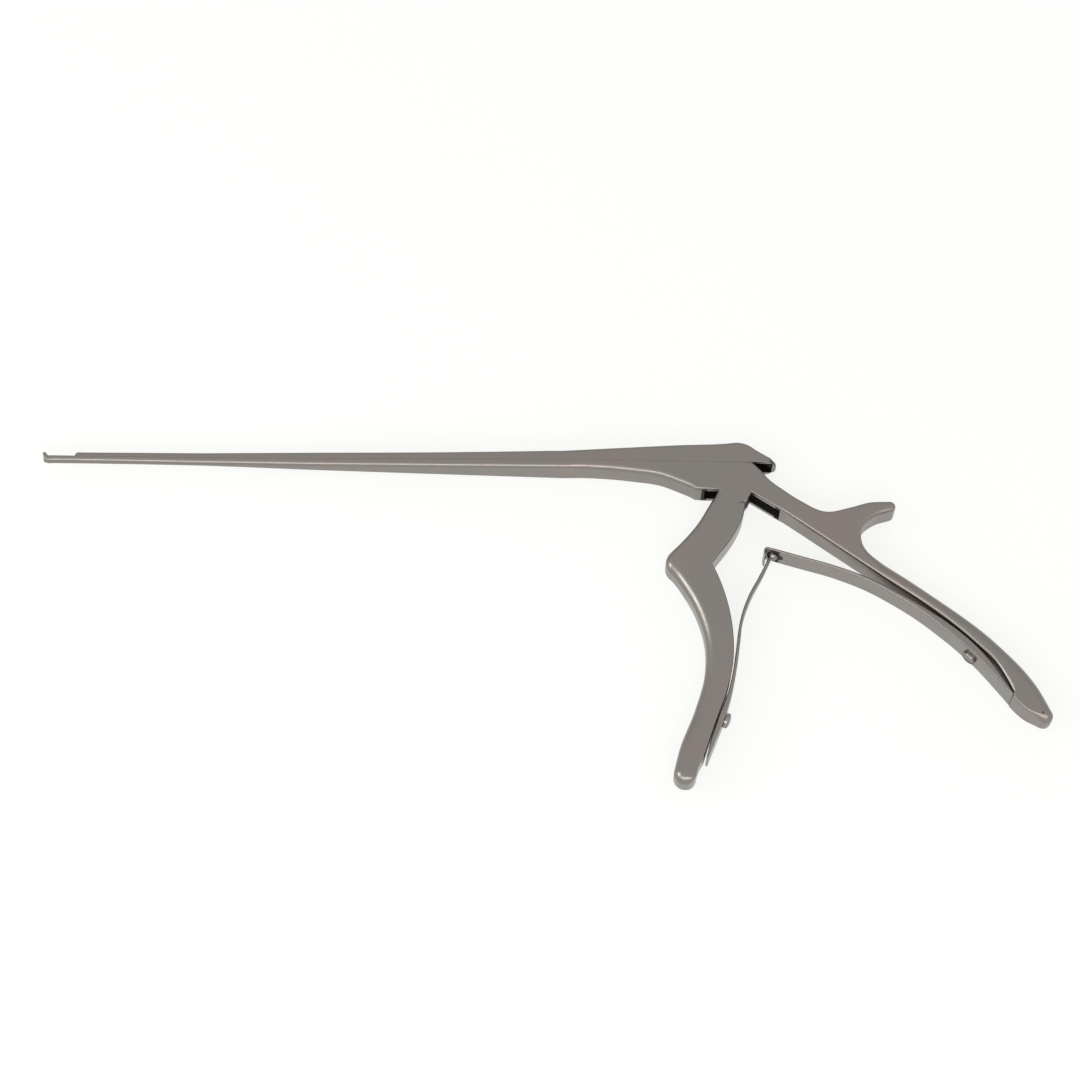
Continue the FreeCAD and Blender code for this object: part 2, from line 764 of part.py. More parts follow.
def front_leaf_body():
    body = new_body("front_leaf_spring")
    outer = [(x, y) for x, y, _ in FRONT_LEAF]
    inner = offset_points(FRONT_LEAF, 1)
    sketch = outline(
        body,
        "front_leaf_outline",
        "XY_Plane",
        outer[0],
        [
            ("spline", *outer[1:]),
            ("line", (BALL[0] + 0.5, BALL[1])),
            ("line", (BALL[0] - 0.4, BALL[1])),
            ("line", inner[-1]),
            ("spline", *inner[-2::-1]),
        ],
        at_height(side_half_gap()),
    )
    pad(body, "front_leaf", sketch, "sizes.leaf_width")

    # The leaf narrows towards its neck, seen from behind
    neck = size("ball_neck_width") / 2
    half = size("leaf_width") / 2
    for side, name in ((-1, "right_narrowing"), (1, "left_narrowing")):
        far = MIDDLE + side * (half + 1)
        sketch = outline(
            body,
            name + "_outline",
            "YZ_Plane",
            (-48.0, MIDDLE + side * half),
            [
                ("spline", (-40.0, MIDDLE + side * (half - 0.35)), (-30.0, MIDDLE + side * (neck + 1.3)),
                 (-22.0, MIDDLE + side * neck)),
                ("line", (BALL[1] + 3, MIDDLE + side * neck)),
                ("line", (BALL[1] + 3, far)),
                ("line", (-48.0, far)),
            ],
        )
        pocket(body, name, sketch, "sizes.shaft_reach", "Symmetric")

    # Ball at the end of the neck
    sketch = outline(
        body,
        "ball_outline",
        "XY_Plane",
        (BALL[0] - size("ball_radius"), BALL[1]),
        [
            ("arc", (BALL[0], BALL[1] + size("ball_radius")), (BALL[0] + size("ball_radius"), BALL[1])),
        ],
        at_height(MIDDLE),
    )
    ball = body.newObject("PartDesign::Revolution", "ball")
    ball.Profile = sketch
    ball.ReferenceAxis = (sketch, ["Edge2"])
    ball.Angle = 360
    doc.recompute()
    hole = circle(body, "front_leaf_hole_outline", "XY_Plane", (0, 0),
                  "screw_shank_radius + sizes.screw_fit", FRONT_SCREW)
    pocket(body, "front_leaf_screw_hole", hole, "2 * sizes.screw_shank_length", "Symmetric")
    return body


def pin_body(name, radius, length, centre):
    """Plain pin across the width, its ends flush with the flat sides."""
    body = new_body(name)
    sketch = circle(body, name + "_outline", "XY_Plane", centre, radius)
    pad(body, name + "_rod", sketch, length)
    rod = body.Tip
    rims = [n for n, e in enumerate(rod.Shape.Edges, start=1) if e.BoundBox.ZLength < 1e-5]
    rim = body.newObject("PartDesign::Chamfer", name + "_rims")
    rim.Base = (rod, ["Edge%d" % n for n in rims])
    rim.Size = 0.15
    doc.recompute()
    return body


def screw_body(name, place, thickness):
    """Slotted cheese-head screw along +Z, its head standing on the leaf."""
    body = new_body(name)
    shank = circle(body, name + "_shank_outline", "XY_Plane", (0, 0), "screw_shank_radius",
                   at_height(-size("screw_shank_length")))
    pad(body, name + "_shank", shank, "sizes.screw_shank_length + %s" % (thickness + 0.3))
    head = circle(body, name + "_head_outline", "XY_Plane", (0, 0), "screw_head_radius",
                  at_height(thickness + size("screw_seat")))
    pad(body, name + "_head", head, "sizes.screw_head_height")
    half = size("screw_slot_width") / 2
    top = thickness + size("screw_seat") + size("screw_head_height")
    far = size("screw_head_radius") + 1
    slot = outline(
        body,
        name + "_slot_outline",
        "XY_Plane",
        (-far, -half),
        [("line", (far, -half)), ("line", (far, half)), ("line", (-far, half))],
        at_height(top),
    )
    pocket(body, name + "_slot", slot, "sizes.screw_slot_depth")
    body.Placement = place
    return body


PARTS = [
    frame_body(),
    slide_body(),
    trigger_body(),
    rear_leaf_body(),
    front_leaf_body(),
    pin_body("pivot_pin", "pivot_pin_radius", "sizes.body_width", (0, 0)),
    pin_body("slide_pin", "slide_pin_radius", "sizes.body_width",
             (size("slide_pin_back"), size("slide_pin_height"))),
    screw_body("rear_spring_screw", REAR_SCREW, rear_thick),
    screw_body("front_spring_screw", FRONT_SCREW, front_thick),
]
doc.recompute()

for thing in doc.Objects:
    if "Invalid" in thing.State or "Error" in thing.State:
        raise RuntimeError("%s failed: %s" % (thing.Name, thing.State))
for body in PARTS:
    if body.Shape.isNull() or not body.Shape.isValid():
        raise RuntimeError(body.Label + " has no valid shape")

os.makedirs("parts", exist_ok=True)
for body in PARTS:
    body.Shape.exportStep("parts/%s.step" % body.Label)
    box = body.Shape.BoundBox
    print(body.Label, len(body.Shape.Solids), "solid,", round(body.Shape.Volume, 1), "mm3,", box)
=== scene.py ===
import math

import bmesh
import bpy
from mathutils import Matrix, Vector
from mathutils.geometry import delaunay_2d_cdt


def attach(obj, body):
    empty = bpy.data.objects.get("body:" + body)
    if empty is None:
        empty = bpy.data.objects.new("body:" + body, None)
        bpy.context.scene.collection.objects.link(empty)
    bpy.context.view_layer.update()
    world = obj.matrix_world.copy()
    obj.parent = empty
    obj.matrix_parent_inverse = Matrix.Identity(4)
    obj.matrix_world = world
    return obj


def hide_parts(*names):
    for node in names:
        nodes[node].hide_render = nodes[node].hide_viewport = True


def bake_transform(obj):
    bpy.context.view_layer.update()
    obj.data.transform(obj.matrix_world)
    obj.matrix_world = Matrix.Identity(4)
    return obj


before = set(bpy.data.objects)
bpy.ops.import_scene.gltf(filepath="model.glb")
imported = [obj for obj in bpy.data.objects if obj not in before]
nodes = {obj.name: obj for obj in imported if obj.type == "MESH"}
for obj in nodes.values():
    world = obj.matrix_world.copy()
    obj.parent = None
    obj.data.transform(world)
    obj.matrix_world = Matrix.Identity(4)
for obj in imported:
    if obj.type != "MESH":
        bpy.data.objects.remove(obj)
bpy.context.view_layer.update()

scene = bpy.context.scene


# Camera: a long lens above the instrument's lower side, turned a little about its own axis

TARGET = Vector((-0.054306, -0.016609, 0.009))
DISTANCE = 0.9
ELEVATION = math.radians(68.0)
ROLL = math.radians(0.9)

outward = Vector((0.0, -math.cos(ELEVATION), math.sin(ELEVATION)))
level = Vector((1.0, 0.0, 0.0))
upward = outward.cross(level)
right = level * math.cos(ROLL) + upward * math.sin(ROLL)
up = outward.cross(right)

camera = bpy.data.objects.new("camera", bpy.data.cameras.new("camera"))
camera.data.sensor_width = 36.0
camera.data.lens = 108.0
camera.data.clip_start = 0.01
camera.data.clip_end = 20.0
camera.matrix_world = Matrix.Translation(TARGET + outward * DISTANCE) @ Matrix(
    (
        (right.x, up.x, outward.x, 0.0),
        (right.y, up.y, outward.y, 0.0),
        (right.z, up.z, outward.z, 0.0),
        (0.0, 0.0, 0.0, 1.0),
    )
)
scene.collection.objects.link(camera)
scene.camera = camera
scene.view_settings.view_transform = "Standard"


# Helpers for node trees


class Tree:
    """Builds a node tree with short calls."""

    def __init__(self, owner):
        owner.use_nodes = True
        self.nodes = owner.node_tree.nodes
        self.links = owner.node_tree.links
        self.nodes.clear()

    def add(self, kind, **settings):
        node = self.nodes.new(kind)
        for name, value in settings.items():
            setattr(node, name, value)
        return node

    def join(self, source, output, target, socket):
        self.links.new(source.outputs[output], target.inputs[socket])

    def noise(self, vector, scale, detail, roughness=0.5, distortion=0.0):
        node = self.add("ShaderNodeTexNoise")
        node.inputs["Scale"].default_value = scale
        node.inputs["Detail"].default_value = detail
        node.inputs["Roughness"].default_value = roughness
        node.inputs["Distortion"].default_value = distortion
        self.links.new(vector, node.inputs["Vector"])
        return node.outputs["Fac"]

    def stretched(self, vector, scale, turn=0.0):
        node = self.add("ShaderNodeMapping")
        node.inputs["Scale"].default_value = scale
        node.inputs["Rotation"].default_value = (0.0, 0.0, turn)
        self.links.new(vector, node.inputs["Vector"])
        return node.outputs["Vector"]

    def spread(self, value, low, high, new_low, new_high):
        node = self.add("ShaderNodeMapRange")
        sockets = ("From Min", "From Max", "To Min", "To Max")
        for socket, number in zip(sockets, (low, high, new_low, new_high)):
            node.inputs[socket].default_value = number
        self.links.new(value, node.inputs["Value"])
        return node.outputs["Result"]

    def ramp(self, value, stops):
        node = self.add("ShaderNodeValToRGB")
        elements = node.color_ramp.elements
        elements[0].position, elements[0].color = stops[0][0], (*stops[0][1], 1.0)
        elements[1].position, elements[1].color = stops[-1][0], (*stops[-1][1], 1.0)
        for place, colour in stops[1:-1]:
            elements.new(place).color = (*colour, 1.0)
        self.links.new(value, node.inputs["Fac"])
        return node.outputs["Color"]

    def blend(self, factor, first, second):
        node = self.add("ShaderNodeMix", data_type="RGBA", blend_type="MIX")
        node.inputs["Factor"].default_value = factor
        self.links.new(first, node.inputs["A"])
        self.links.new(second, node.inputs["B"])
        return node.outputs["Result"]


def steel(name, tone, rough, grain_turn, grain_depth, blotch=1.0):
    """Satin stainless steel: a cold and a warm tone in soft blotches, fine grain, handling marks."""
    material = bpy.data.materials.new(name)
    tree = Tree(material)
    place = tree.add("ShaderNodeTexCoord").outputs["Object"]
    output = tree.add("ShaderNodeOutputMaterial")
    shader = tree.add("ShaderNodeBsdfPrincipled")
    tree.join(shader, "BSDF", output, "Surface")
    shader.inputs["Metallic"].default_value = 1.0

    # Soft blotches of warmer and greener grey, a few millimetres to a few centimetres wide
    wide = tree.noise(place, 55.0, 2.0, 0.55, 0.4)
    fine = tree.noise(place, 420.0, 3.0, 0.6)
    warm = tuple(channel * factor for channel, factor in zip(tone, (1.07, 0.985, 0.965)))
    green = tuple(channel * factor for channel, factor in zip(tone, (0.965, 1.0, 0.965)))
    pale = tuple(channel * factor for channel, factor in zip(tone, (1.02, 1.03, 1.04)))
    colour = tree.ramp(wide, [(0.36, green), (0.5, tone), (0.64, warm)])
    speck = tree.ramp(fine, [(0.35, tone), (0.7, pale)])
    colour = tree.blend(0.25, colour, speck)
    tree.links.new(colour, shader.inputs["Base Color"])

    # Grain of the last polish, running along the piece
    along = tree.stretched(place, (180.0, 5200.0, 5200.0), grain_turn)
    grain = tree.noise(along, 1.0, 2.0, 0.5)
    cross = tree.stretched(place, (900.0, 1500.0, 1500.0), grain_turn + 0.6)
    scuffs = tree.noise(cross, 1.0, 4.0, 0.65)
    soft = tree.noise(place, 140.0, 3.0, 0.6)
    grain_part = tree.spread(grain, 0.3, 0.7, rough - 0.03, rough + 0.03)
    soft_part = tree.spread(soft, 0.3, 0.7, -0.05 * blotch, 0.05 * blotch)
    total = tree.add("ShaderNodeMath", operation="ADD", use_clamp=True)
    tree.links.new(grain_part, total.inputs[0])
    tree.links.new(soft_part, total.inputs[1])
    tree.join(total, "Value", shader, "Roughness")

    height = tree.add("ShaderNodeMath", operation="MULTIPLY_ADD")
    height.inputs[1].default_value = 0.35
    tree.links.new(scuffs, height.inputs[0])
    tree.links.new(grain, height.inputs[2])
    bump = tree.add("ShaderNodeBump")
    bump.inputs["Strength"].default_value = grain_depth
    bump.inputs["Distance"].default_value = 0.00002
    tree.join(height, "Value", bump, "Height")
    tree.join(bump, "Normal", shader, "Normal")
    return material


STEEL = (0.243, 0.222, 0.206)
forged = steel("satin_forged_steel", STEEL, 0.34, 0.0, 0.35)
handle = steel("satin_handle_steel", STEEL, 0.30, math.radians(75.0), 0.3)
spring = steel("spring_steel", (0.238, 0.222, 0.208), 0.30, math.radians(-30.0), 0.3)
turned = steel("turned_steel", (0.27, 0.255, 0.24), 0.26, 0.0, 0.3, 0.6)
# Near-black paint for faces inside the openings: it imitates their shadow and isn't the real finish
opening_shade = steel("opening_shade", (0.035, 0.032, 0.03), 0.6, 0.0, 0.5)


def paint(obj, material):
    for place in range(len(obj.material_slots)):
        obj.material_slots[place].link = "OBJECT"
        obj.material_slots[place].material = material
    if not obj.material_slots:
        obj.data.materials.append(material)


FINISH = {
    "shaft_and_rear_handle": forged,
    "upper_slide": forged,
    "trigger_handle": handle,
    "rear_leaf_spring": spring,
    "front_leaf_spring": spring,
    "pivot_pin": turned,
    "slide_pin": turned,
    "rear_spring_screw": turned,
    "front_spring_screw": turned,
}
for name, material in FINISH.items():
    paint(nodes[name], material)

# Outlines in millimetres, from above: steps of (kind, edge radius, points)

MM = 0.001
WIDTH = 9.0
MIDDLE = 4.5
PARTING = 8.1
CHEEK = 4.6
SHAFT_TAPER = 3.1
SLOT_HALF = 2.75
CHANNEL_HALF = 0.48
WELL_HALF = 3.1
TONGUE_HALF = 2.6
PIN_PROUD = 0.015
LEAF_HALF = 4.2


def polar(radius, degrees):
    angle = math.radians(degrees)
    return (radius * math.cos(angle), radius * math.sin(angle))


def arc_points(begin, middle, end, spacing):
    """Points of the arc through three points, after its first, with its two end directions."""
    (ax, ay), (bx, by), (cx, cy) = begin, middle, end
    d = 2 * (ax * (by - cy) + bx * (cy - ay) + cx * (ay - by))
    aa, bb, cc = ax * ax + ay * ay, bx * bx + by * by, cx * cx + cy * cy
    ux = (aa * (by - cy) + bb * (cy - ay) + cc * (ay - by)) / d
    uy = (aa * (cx - bx) + bb * (ax - cx) + cc * (bx - ax)) / d
    radius = math.hypot(ax - ux, ay - uy)
    first = math.atan2(ay - uy, ax - ux)
    sweep = (math.atan2(cy - uy, cx - ux) - first) % math.tau
    if (math.atan2(by - uy, bx - ux) - first) % math.tau > sweep:
        sweep -= math.tau
    count = max(
        3, math.ceil(abs(sweep) * radius / spacing), math.ceil(abs(sweep) / math.radians(12))
    )
    angles = [first + sweep * k / count for k in range(1, count + 1)]
    points = [(ux + radius * math.cos(t), uy + radius * math.sin(t)) for t in angles]
    sign = math.copysign(1.0, sweep)
    ways = [(-math.sin(t) * sign, math.cos(t) * sign) for t in (first, first + sweep)]
    return points, ways


def unit(x, y):
    length = math.hypot(x, y)
    return (x / length, y / length)


def flow_points(points, before, after, spacing):
    """Smooth curve through points, after its first; before and after are directions or None."""
    spans = [math.dist(a, b) for a, b in zip(points, points[1:])]
    ways = [None] * len(points)
    for i in range(1, len(points) - 1):
        h0, h1 = spans[i - 1], spans[i]
        ways[i] = unit(*[
            (points[i][k] - points[i - 1][k]) / h0 * h1 + (points[i + 1][k] - points[i][k]) / h1 * h0
            for k in (0, 1)
        ])
    for i, j, given in ((0, 1, before), (-1, -2, after)):
        chord = unit(*[(points[j][k] - points[i][k]) * (1 if i == 0 else -1) for k in (0, 1)])
        inner = ways[j] or chord
        ways[i] = given or unit(*[2 * chord[k] - inner[k] for k in (0, 1)])
    found = []
    for i, h in enumerate(spans):
        count = max(2, math.ceil(h / spacing))
        for step in range(1, count + 1):
            t = step / count
            weights = (
                2 * t**3 - 3 * t**2 + 1, (t**3 - 2 * t**2 + t) * h,
                3 * t**2 - 2 * t**3, (t**3 - t**2) * h,
            )
            parts = (points[i], ways[i], points[i + 1], ways[i + 1])
            found.append(tuple(sum(w * p[k] for w, p in zip(weights, parts)) for k in (0, 1)))
    return found


def trace(start, steps, spacing=0.9):
    """Dense closed outline as (x, y, edge radius)."""
    ends = []
    here = start
    for kind, radius, *points in steps:
        ends.append((here, points[-1]))
        here = points[-1]
    ways = {}
    for number, (kind, radius, *points) in enumerate(steps):
        begin, end = ends[number]
        if kind == "arc":
            ways[number] = arc_points(begin, points[0], end, spacing)[1]
        elif kind == "bar":
            way = unit(end[0] - begin[0], end[1] - begin[1])
            ways[number] = (way, way)
    found = []
    for number, (kind, radius, *points) in enumerate(steps):
        begin, end = ends[number]
        if kind == "arc":
            fresh = arc_points(begin, points[0], end, spacing)[0]
        elif kind == "flow":
            before = ways[number - 1][1] if number - 1 in ways else None
            after = ways[number + 1][0] if number + 1 in ways else None
            fresh = flow_points([begin] + points, before, after, spacing)
        else:
            count = max(1, math.ceil(math.dist(begin, end) / (2 * spacing)))
            fresh = [
                tuple(begin[k] + (end[k] - begin[k]) * step / count for k in (0, 1))
                for step in range(1, count + 1)
            ]
        found += [(x, y, radius) for x, y in fresh]
    if math.dist(found[-1][:2], start) > 1e-6:
        found.append((*start, steps[-1][1]))
    area = sum(a[0] * b[1] - b[0] * a[1] for a, b in zip(found, found[1:] + found[:1]))
    return found if area > 0 else found[::-1]


def plate(bm, loop, half_width=lambda x: MIDDLE, blur=4, slopes=6):
    """Adds a plate with rounded edges over an outline; its width may change along x."""
    count = len(loop)
    radii = [r for _, _, r in loop]
    for _ in range(blur):
        radii = [(radii[i - 1] + 2 * radii[i] + radii[(i + 1) % count]) / 4 for i in range(count)]
    rims = []
    for i, (x, y, _) in enumerate(loop):
        before, after = loop[i - 1], loop[(i + 1) % count]
        first = unit(x - before[0], y - before[1])
        second = unit(after[0] - x, after[1] - y)
        middle = unit(first[0] + second[0], first[1] + second[1])
        lean = max(0.6, first[0] * middle[0] + first[1] * middle[1])
        rims.append((middle[1] / lean, -middle[0] / lean))
    rings = []
    for side in (-1, 1):
        for step in range(slopes + 1):
            angle = math.radians(90) * (step if side < 0 else slopes - step) / slopes
            ring = []
            for (x, y, _), (nx, ny), radius in zip(loop, rims, radii):
                half = half_width(x)
                radius = min(radius, 0.9 * half)
                inset = radius * (1 - math.sin(angle))
                z = MIDDLE + side * (half - radius * (1 - math.cos(angle)))
                place = ((x - nx * inset) * MM, (y - ny * inset) * MM, z * MM)
                ring.append(bm.verts.new(place))
            rings.append(ring)
    for lower, upper in zip(rings, rings[1:]):
        for i in range(count):
            j = (i + 1) % count
            bm.faces.new((lower[i], lower[j], upper[j], upper[i]))
    for ring, turned in ((rings[0], True), (rings[-1], False)):
        flat = [Vector((v.co.x * 1000, v.co.y * 1000)) for v in ring]
        edges = [(i, (i + 1) % count) for i in range(count)]
        points, _, faces, sources, _, _ = delaunay_2d_cdt(flat, edges, [], 1, 1e-5)
        corners = [ring[source[0]] if source else None for source in sources]
        for face in faces:
            picked = [corners[k] for k in face]
            if None in picked or len(set(picked)) < 3:
                continue
            bm.faces.new(picked[::-1] if turned else picked)


def finish_mesh(name, bm, material, body, stands_for, inside=None, sharp=32.0):
    """Turns a bmesh into a piece with smooth faces and sharp corners.

    Faces whose middle is inside(x, y, z), in millimetres, get the near-black opening shade.
    """
    bmesh.ops.recalc_face_normals(bm, faces=bm.faces)
    if inside:
        for face in bm.faces:
            x, y, z = face.calc_center_median() * 1000
            face.material_index = 1 if inside(x, y, z) else 0
    mesh = bpy.data.meshes.new(name)
    for face in bm.faces:
        face.smooth = True
    for edge in bm.edges:
        edge.smooth = len(edge.link_faces) == 2 and edge.calc_face_angle(0.0) < math.radians(sharp)
    bm.to_mesh(mesh)
    bm.free()
    piece = bpy.data.objects.new(name, mesh)
    scene.collection.objects.link(piece)
    mesh.materials.append(material)
    if inside:
        mesh.materials.append(opening_shade)
    weighted = piece.modifiers.new("normals", "WEIGHTED_NORMAL")
    weighted.keep_sharp = True
    if body:
        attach(piece, body)
    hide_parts(*stands_for)
    return piece


def cut(bm, loops):
    """Cuts each (outline in XY, lowest z, highest z) out of the solid in bm."""
    solid = bpy.data.meshes.new("solid")
    bmesh.ops.recalc_face_normals(bm, faces=bm.faces)
    bm.to_mesh(solid)
    bm.free()
    body = bpy.data.objects.new("solid", solid)
    scene.collection.objects.link(body)
    tools = []
    for number, (corners, low, high) in enumerate(loops):
        tool_bm = bmesh.new()
        floor_ring = [tool_bm.verts.new((x * MM, y * MM, low * MM)) for x, y in corners]
        tool_bm.faces.new(floor_ring)
        moved = bmesh.ops.extrude_face_region(tool_bm, geom=tool_bm.faces[:])["geom"]
        tops = [item for item in moved if isinstance(item, bmesh.types.BMVert)]
        bmesh.ops.translate(tool_bm, verts=tops, vec=(0, 0, (high - low) * MM))
        bmesh.ops.recalc_face_normals(tool_bm, faces=tool_bm.faces)
        mesh = bpy.data.meshes.new("tool")
        tool_bm.to_mesh(mesh)
        tool_bm.free()
        tool = bpy.data.objects.new("tool", mesh)
        scene.collection.objects.link(tool)
        modifier = body.modifiers.new("cut", "BOOLEAN")
        modifier.object = tool
        modifier.operation = "DIFFERENCE"
        modifier.solver = "EXACT"
        tools.append(tool)
    bpy.context.view_layer.update()
    result = bpy.data.meshes.new_from_object(body.evaluated_get(bpy.context.evaluated_depsgraph_get()))
    fresh = bmesh.new()
    fresh.from_mesh(result)
    for item in [body] + tools:
        mesh = item.data
        bpy.data.objects.remove(item)
        bpy.data.meshes.remove(mesh)
    bpy.data.meshes.remove(result)
    return fresh


# Shaft, cheeks and rear handle

APEX = polar(CHEEK, -12)
BELLY_CORNER = (-math.sqrt(CHEEK**2 - 0.35**2), -0.35)


def shaft_half_width(x):
    share = min(1.0, max(0.0, (-48.0 - x) / 102.0))
    return MIDDLE - SHAFT_TAPER * share


frame_loop = trace(
    (4.7, PARTING),
    [
        ("flow", 0.8, (7.4, 5.8), (9.3, 3.4), (13.4, 0.1), (18.4, -3.3), (25.2, -6.4), (32.3, -5.05),
         (37.5, -3.5), (43.3, -3.1)),
        ("arc", 1.2, (44.9, -4.6), (44.0, -5.87)),
        ("flow", 1.3, (39.0, -7.7), (35.6, -10.9), (35.3, -15.2), (39.7, -20.6)),
        ("flow", 2.6, (54.7, -30.8), (71.1, -43.8), (82.3, -56.7), (86.2, -64.2)),
        ("arc", 2.6, (85.4, -67.0), (82.7, -66.6)),
        ("flow", 0.7, (79.0, -64.1), (75.3, -60.3)),
        ("line", 0.4, (75.7, -59.0)),
        ("flow", 1.2, (73.6, -54.6), (70.7, -49.9), (66.5, -45.6), (63.0, -42.3), (58.1, -38.1),
         (51.5, -33.1), (40.8, -25.8)),
        ("bar", 1.0, (14.0, -7.0)),
        ("bar", 0.5, APEX),
        ("arc", 0.03, polar(CHEEK, -90), BELLY_CORNER),
        ("line", 0.5, (-10.8, -0.35)),
        ("flow", 1.5, (-15.4, 1.6), (-20.4, 3.5), (-28.5, 4.7), (-45.0, 5.6)),
        ("flow", 1.1, (-92.0, 5.85), (-120.0, 6.05), (-139.0, 6.3), (-157.0, 6.45), (-193.2, 6.45)),
        ("line", 0.4, (-194.45, 6.85)),
        ("line", 0.25, (-194.75, 9.05)),
        ("line", 0.2, (-193.97, 9.05)),
        ("line", 0.15, (-193.2, PARTING)),
        ("line", 0.12, (4.7, PARTING)),
    ],
)
shape = bmesh.new()
plate(shape, frame_loop, shaft_half_width)

SWEEP = 14.0
slot_loop = [(-8.4, polar(SWEEP, -62)[1])]
slot_loop += [polar(SWEEP, angle) for angle in range(-62, 45, 6)]
slot_loop += [polar(SWEEP, 44), (-8.4, polar(SWEEP, 44)[1])]
channel = [(-192.1, 7.1), (-170.0, 7.1), (-170.0, 9.0), (-191.4, 9.0), (-191.4, 8.3)]
shape = cut(
    shape,
    [
        (slot_loop, MIDDLE - SLOT_HALF, MIDDLE + SLOT_HALF),
        (channel, MIDDLE - CHANNEL_HALF, MIDDLE + CHANNEL_HALF),
    ],
)


# Painted shade: faces inside the cheeks' slot and the rear channel get the near-black opening shade
def in_frame_slot(x, y, z):
    in_cheeks = abs(z - MIDDLE) < 2.76 and math.hypot(x, y) < SWEEP + 0.02 and x > -8.42
    return in_cheeks or (abs(z - MIDDLE) < 0.49 and x < -170 and y < PARTING - 0.02 and y > 7.05)


finish_mesh(
    "forged_frame", shape, forged, "frame", ["shaft_and_rear_handle"], inside=in_frame_slot
)


# Slide

slide_loop = trace(
    (-185.7, PARTING + 0.02),
    [
        ("line", 0.1, (11.8, PARTING + 0.02)),
        ("line", 0.3, (11.5, PARTING + 0.47)),
        ("line", 0.9, (5.6, 12.25)),
        ("arc", 0.9, (3.4, 13.65), (-0.4, 14.1)),
        ("flow", 0.9, (-16.0, 13.1), (-32.0, 12.0), (-49.0, 10.8)),
        ("flow", 0.6, (-80.0, 10.2), (-122.0, 9.85), (-185.0, 9.25)),
        ("line", 0.2, (-185.45, 8.85)),
        ("line", 0.1, (-185.7, PARTING + 0.02)),
    ],
)
shape = bmesh.new()
plate(shape, slide_loop, shaft_half_width)
turn = 3.2  # radius of the rear end, seen from above
for side in (-1, 1):
    for vert in shape.verts:
        reach = vert.co.x * 1000 - (11.8 - turn)
        if reach > 0:
            limit = turn - math.sqrt(max(0.0, turn * turn - min(reach, turn) ** 2))
            limit = MIDDLE - limit
            z = (vert.co.z * 1000 - MIDDLE) * side
            if z > limit:
                vert.co.z = (MIDDLE + side * limit) * MM
well = [(-1.7, 7.0), (11.0, 7.0), (10.6, 8.7), (7.4, 10.9), (-1.7, 12.4)]
shape = cut(shape, [(well, MIDDLE - WELL_HALF, MIDDLE + WELL_HALF)])


# Painted shade: faces inside the slide's well get the near-black opening shade
def in_slide_well(x, y, z):
    across = abs(z - MIDDLE) < 3.11 and x > -1.75
    return across and y > PARTING + 0.03 and y < 12.72 and in_well_depth(x, y)


def in_well_depth(x, y):
    return x < 10.95 and y < 9.65 + max(0.0, (10.9 - x)) * 1.15


finish_mesh("slide_bar", shape, forged, "slide", ["upper_slide"], inside=in_slide_well)


# Trigger with its tongue and fork

SEAT = CHEEK + 0.015
trigger_loop = trace(
    polar(SEAT, -172.6),
    [
        ("flow", 1.3, (-6.9, -4.5), (-10.7, -11.0), (-15.0, -16.3), (-18.2, -19.6)),
        ("arc", 2.1, (-19.3, -22.3), (-18.2, -24.8)),
        ("flow", 2.5, (-14.2, -30.2), (-10.6, -37.2), (-8.4, -45.5), (-8.6, -55.0), (-11.4, -65.4),
         (-15.4, -76.0), (-17.0, -82.6)),
        ("arc", 2.4, (-15.43, -86.03), (-12.8, -86.2)),
        ("flow", 1.2, (-11.2, -84.6), (-10.6, -82.4), (-8.9, -78.9)),
        ("flow", 0.55, (-7.2, -73.4), (-5.0, -66.9), (-2.4, -59.3), (-0.8, -51.0), (-0.9, -41.5),
         (-2.8, -31.8), (-6.4, -22.6)),
        ("flow", 0.8, (-4.6, -20.0), (-1.9, -16.3), (0.9, -11.5), (2.4, -7.4), polar(SEAT, -57)),
        ("arc", 0.03, polar(SEAT, -115), polar(SEAT, -172.6)),
    ],
)
shape = bmesh.new()
plate(shape, trigger_loop, blur=2)


def on_tongue(across, out):
    angle = math.radians(90) - math.atan2(2.7, 10.0)
    along = (math.cos(angle), math.sin(angle))
    return (out * along[0] + across * along[1], out * along[1] - across * along[0])


HUB = 4.45
tongue_loop = trace(
    on_tongue(-2.9, 3.4),
    [
        ("arc", 0.1, polar(HUB, 180), polar(HUB, -168)),
        ("line", 0.1, (-6.0, -6.0)),
        ("line", 0.1, (0.5, -9.0)),
        ("line", 0.1, polar(HUB, -60)),
        ("arc", 0.1, polar(HUB, -10), on_tongue(2.9, 3.4)),
        ("line", 0.1, on_tongue(2.9, 11.3)),
        ("line", 0.1, on_tongue(1.4, 11.9)),
        ("line", 0.1, on_tongue(1.3, 9.1)),
        ("line", 0.1, on_tongue(-1.3, 9.1)),
        ("line", 0.1, on_tongue(-1.4, 11.9)),
        ("line", 0.1, on_tongue(-2.9, 11.3)),
        ("line", 0.1, on_tongue(-2.9, 3.4)),
    ],
)
plate(shape, tongue_loop, lambda x: TONGUE_HALF, blur=0, slopes=2)


# Painted shade: faces of the hub's seat between the cheeks, and every face above y = -0.3, get the near-black
# opening shade
def on_hub(x, y, z):
    return abs(z - MIDDLE) < 2.61 and math.hypot(x, y) < SEAT + 0.1 or y > -0.3


finish_mesh("trigger_grip", shape, handle, "trigger", ["trigger_handle"], inside=on_hub)


# Leaf springs: bands with rounded edges that follow their path


